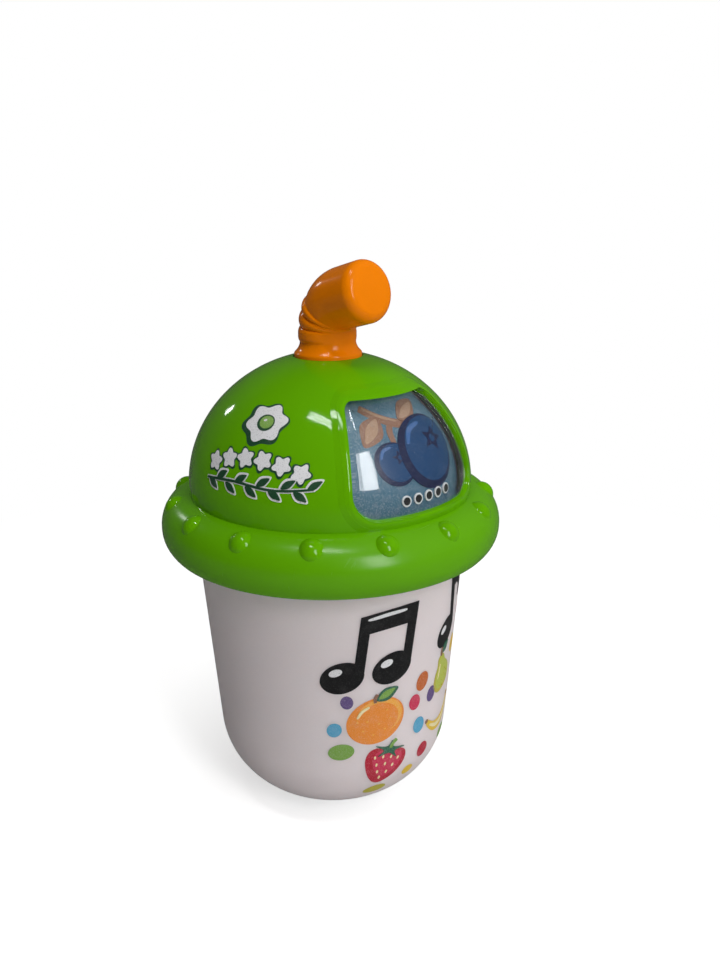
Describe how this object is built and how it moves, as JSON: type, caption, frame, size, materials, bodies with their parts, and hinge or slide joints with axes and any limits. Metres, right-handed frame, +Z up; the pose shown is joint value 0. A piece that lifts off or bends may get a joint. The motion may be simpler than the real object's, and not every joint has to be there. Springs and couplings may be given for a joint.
{
  "type": "toy smoothie cup",
  "caption": "Light-up toy drinks cup with a turning domed lid, a picture window and a bent straw that presses like a button.",
  "frame": {"origin": "centre of the base, on the surface that the toy stands on", "axes": "+Z up along the cup's axis, the window and the straw's end face -Y, +X to the right seen from the front"},
  "size_m": [0.12, 0.12, 0.1963],
  "materials": {
    "cup_white": "satin, translucent",
    "base_white": "satin",
    "lid_green": "gloss",
    "ring_green": "satin",
    "lens_clear": "clear gloss",
    "straw_orange": "gloss",
    "inner_white": "satin",
    "print": "printed film",
    "steel": "zinc plated",
    "spring_steel": "bright",
    "brass": "bright",
    "board": "lacquered board",
    "black_plastic": "satin",
    "magnet": "plated",
    "lamp": "clear gloss",
    "pad_rubber": "silicone",
    "knob_orange": "satin",
    "cell": "wrapped",
    "lead_red": "soft sleeve"
  },
  "bodies": {
    "cup": {"cup_shell": "cup_white", "base_cap": "base_white", "base_screws": "steel", "battery_box": "inner_white", "battery_cells": "cell", "top_contacts": "spring_steel", "door_contacts": "spring_steel", "battery_door": "base_white", "door_screw": "steel", "speaker_frame": "black_plastic", "speaker_magnet": "magnet", "speaker_cone": "black_plastic", "speaker_clamp": "inner_white", "speaker_screws": "steel", "slide_switch": "black_plastic", "chassis": "inner_white", "chassis_screws": "steel", "main_board": "board", "board_screws": "steel", "sound_chip": "black_plastic", "capacitor": "black_plastic", "cup_lights": "lamp", "switch_pad": "pad_rubber", "picture_drum": "inner_white", "picture_panels": "print", "position_board": "board", "drum_screws": "steel", "click_spring": "spring_steel", "click_spring_screws": "steel", "battery_leads": "lead_red", "speaker_leads": "lead_red", "switch_leads": "lead_red", "sensor_leads": "lead_red"},
    "lid": {"dome_lid": "lid_green", "window_lens": "lens_clear", "lid_ring": "ring_green", "lid_screws": "steel", "lid_wiper": "brass", "straw_spring": "spring_steel"},
    "straw": {"straw": "straw_orange", "straw_stem": "inner_white", "straw_washer": "steel", "straw_screw": "steel"},
    "plunger": {"press_plunger": "inner_white"},
    "knob": {"switch_knob": "knob_orange"}
  },
  "joints": [
    {"name": "lid_turn", "type": "hinge", "parent": "cup", "child": "lid", "pos_m": [0, 0, 0.1074], "axis": [0, 0, 1], "continuous": true},
    {"name": "straw_press", "type": "slide", "parent": "lid", "child": "straw", "axis": [0, 0, -1], "range_m": [0, 0.0022], "stiffness_N_per_m": 800, "springref_m": -0.004, "deforming": ["straw_spring"]},
    {"name": "plunger_press", "type": "slide", "parent": "cup", "child": "plunger", "axis": [0, 0, -1], "range_m": [0, 0.0022], "stiffness_N_per_m": 60, "springref_m": -0.004, "deforming": ["switch_pad"]},
    {"name": "knob_slide", "type": "slide", "parent": "cup", "child": "knob", "axis": [0, 1, 0], "range_m": [0, 0.005]}
  ],
  "couplings": [
    {"joint": "plunger_press", "follows": "straw_press", "ratio": 1}
  ]
}
